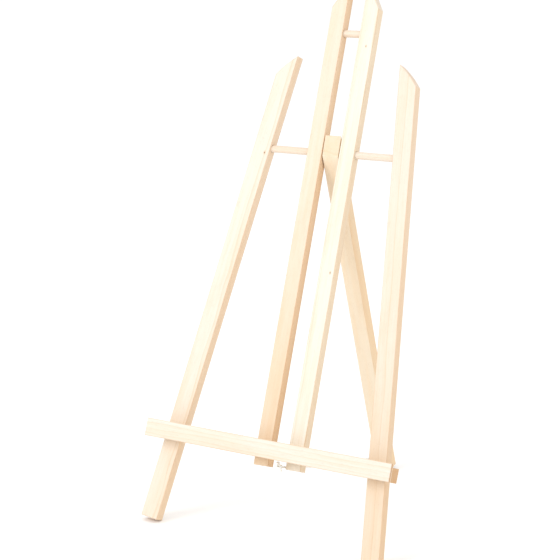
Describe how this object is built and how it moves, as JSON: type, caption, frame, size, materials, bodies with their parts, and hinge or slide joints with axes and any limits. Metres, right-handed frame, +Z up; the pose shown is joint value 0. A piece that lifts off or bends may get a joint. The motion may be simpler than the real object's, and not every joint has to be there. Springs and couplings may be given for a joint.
{
  "type": "table display easel",
  "caption": "Wooden table easel with splayed front legs, a two-bar mast, a lipped ledge and a fold-in rear leg on a cord.",
  "frame": {"origin": "middle of the footprint, on the floor, with the easel standing open", "axes": "+Z up, the front of the easel faces -Y, +X to the viewer's right; the front frame leans back towards +Y"},
  "size_m": [0.301, 0.2928, 0.5799],
  "materials": {
    "pale_wood": "planed, clear matt",
    "dowel_wood": "planed, clear matt",
    "steel": "zinc plated",
    "cord": "twisted cotton"
  },
  "bodies": {
    "front_frame": {"front_leg_left": "pale_wood", "front_leg_right": "pale_wood", "mast_bar_left": "pale_wood", "mast_bar_right": "pale_wood", "long_dowel": "dowel_wood", "top_dowel": "dowel_wood", "ledge_shelf": "pale_wood", "ledge_lip": "pale_wood", "ledge_screw_left_leg": "steel", "ledge_screw_left_mast": "steel", "ledge_screw_right_mast": "steel", "ledge_screw_right_leg": "steel", "dowel_pin_left_leg": "steel", "dowel_pin_right_leg": "steel", "dowel_pin_left_mast": "steel", "dowel_pin_right_mast": "steel", "shelf_screw_eye": "steel", "front_cord_knot": "cord", "stay_cord": "cord"},
    "back_strut": {"rear_leg": "pale_wood", "rear_leg_screw_eye": "steel", "rear_cord_knot": "cord"}
  },
  "joints": [
    {"name": "rear_leg_fold", "type": "hinge", "parent": "front_frame", "child": "back_strut", "pos_m": [0, 0.0234, 0.39877], "axis": [-0.9995, 0.0087, -0.0291], "range_deg": [0, 38.6], "deforming": ["stay_cord"]}
  ]
}
